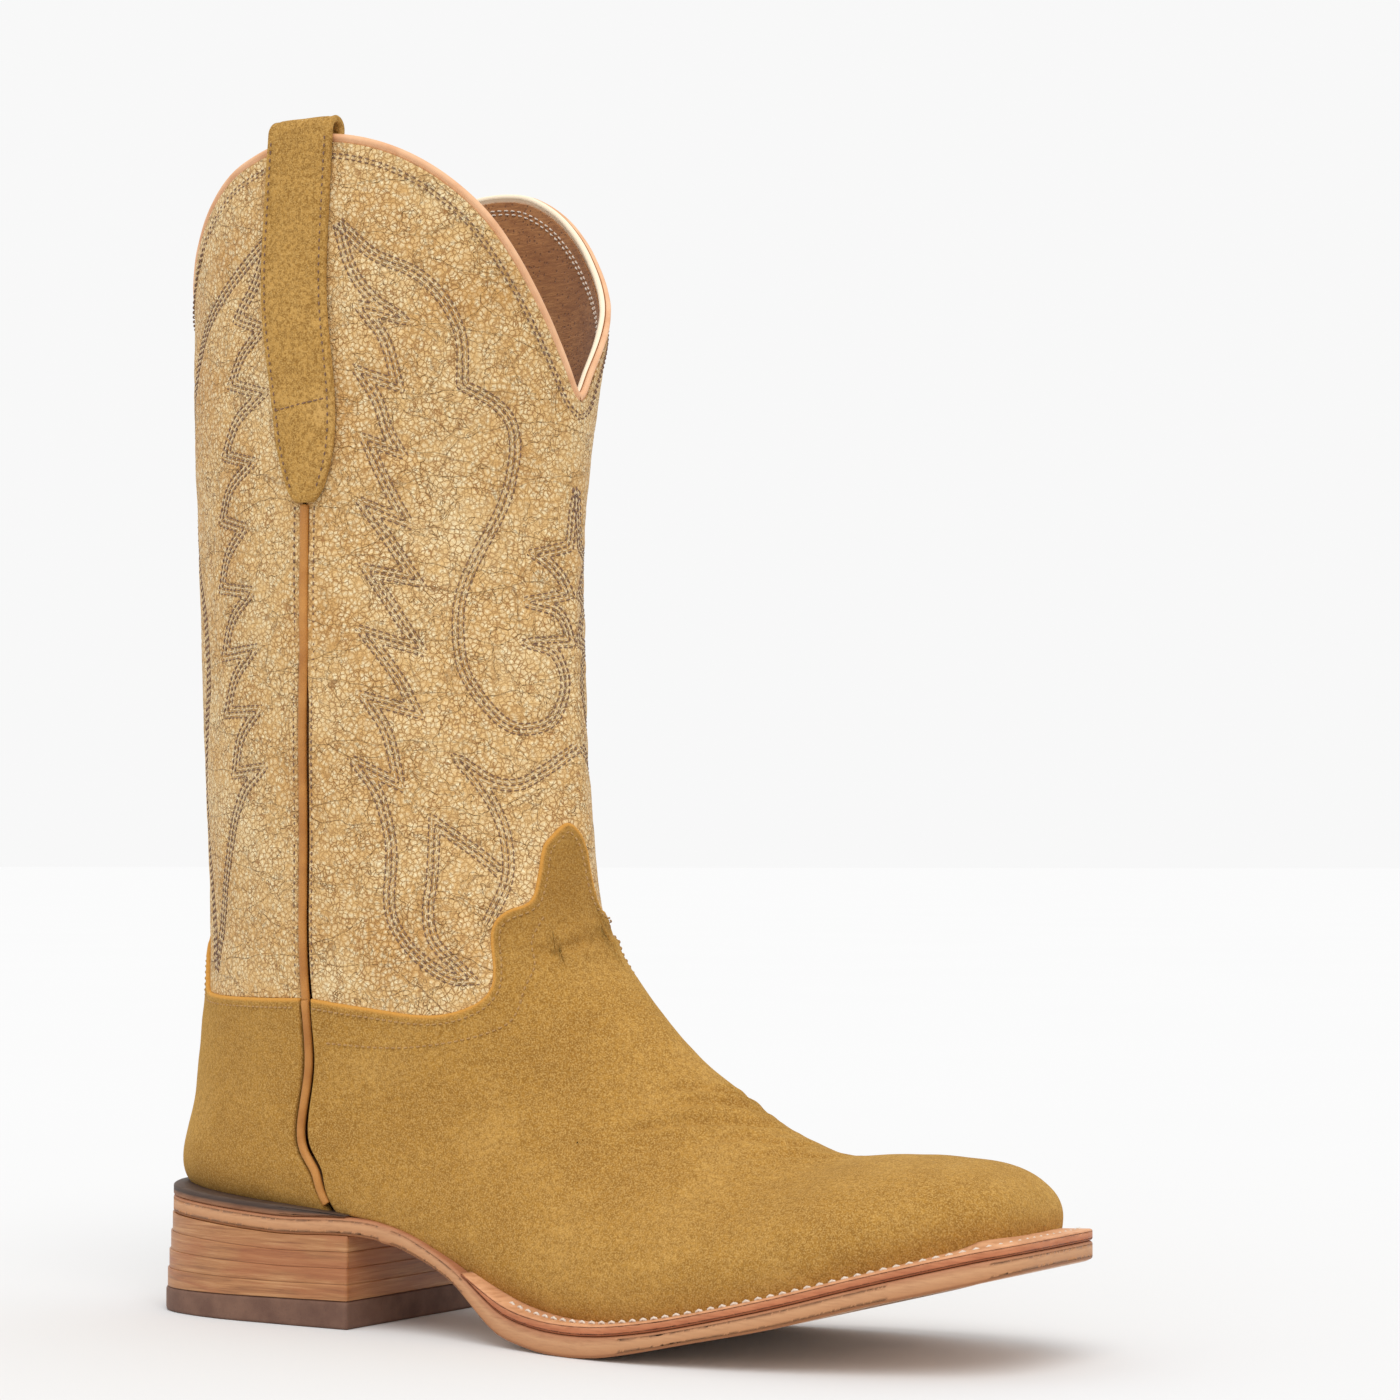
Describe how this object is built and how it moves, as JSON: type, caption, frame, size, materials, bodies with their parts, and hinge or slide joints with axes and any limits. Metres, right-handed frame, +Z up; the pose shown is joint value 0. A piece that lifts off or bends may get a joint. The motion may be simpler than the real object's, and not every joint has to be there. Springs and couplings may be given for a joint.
{
  "type": "western boot",
  "caption": "Western boot with a scalloped stitched leather shaft, suede vamp, broad square toe, welted sole, stacked heel and pull straps.",
  "frame": {"origin": "middle of the boot's bounding box at ground level, under the heel and sole", "axes": "+X towards the toe, +Y towards the inner (medial) side, +Z up"},
  "size_m": [0.3, 0.1092, 0.3526],
  "materials": {
    "shaft_leather": "pale gold crackled leather, low sheen",
    "suede": "mustard roughout suede, matte with a soft nap",
    "lining_leather": "smooth unfinished pinkish tan leather",
    "piping_leather": "smooth orange tan leather welting",
    "binding_leather": "smooth light tan leather binding",
    "stiffener": "pressed leather board",
    "insole_leather": "vegetable tanned leather, natural",
    "shank_steel": "plain spring steel",
    "cork": "granulated cork",
    "welt_leather": "natural veg-tan leather with a reddish edge",
    "rand_leather": "dark brown dyed edge",
    "sole_leather": "natural veg-tan sole leather, burnished edge",
    "stack_leather": "stacked leather with horizontal layers, burnished",
    "heel_rubber": "matte grey-brown rubber",
    "nail_steel": "plain steel"
  },
  "bodies": {
    "root": {"shaft_front": "shaft_leather", "shaft_back": "shaft_leather", "shaft_lining_front": "lining_leather", "shaft_lining_back": "lining_leather", "vamp": "suede", "vamp_lining": "lining_leather", "toe_box": "stiffener", "heel_cover": "suede", "heel_lining": "lining_leather", "heel_stiffener": "stiffener", "piping_lateral": "piping_leather", "piping_medial": "piping_leather", "pull_strap_lateral": "suede", "pull_strap_medial": "suede", "binding_front": "binding_leather", "binding_back": "binding_leather", "insole": "insole_leather", "footbed": "lining_leather", "shank": "shank_steel", "bottom_filler": "cork", "welt": "welt_leather", "heel_rand": "rand_leather", "outsole": "sole_leather", "heel_lift_1": "stack_leather", "heel_lift_2": "stack_leather", "heel_lift_3": "stack_leather", "heel_lift_4": "stack_leather", "heel_cap": "heel_rubber", "heel_nail_1": "nail_steel", "heel_nail_2": "nail_steel", "heel_nail_3": "nail_steel", "heel_nail_4": "nail_steel", "heel_nail_5": "nail_steel"}
  },
  "joints": []
}
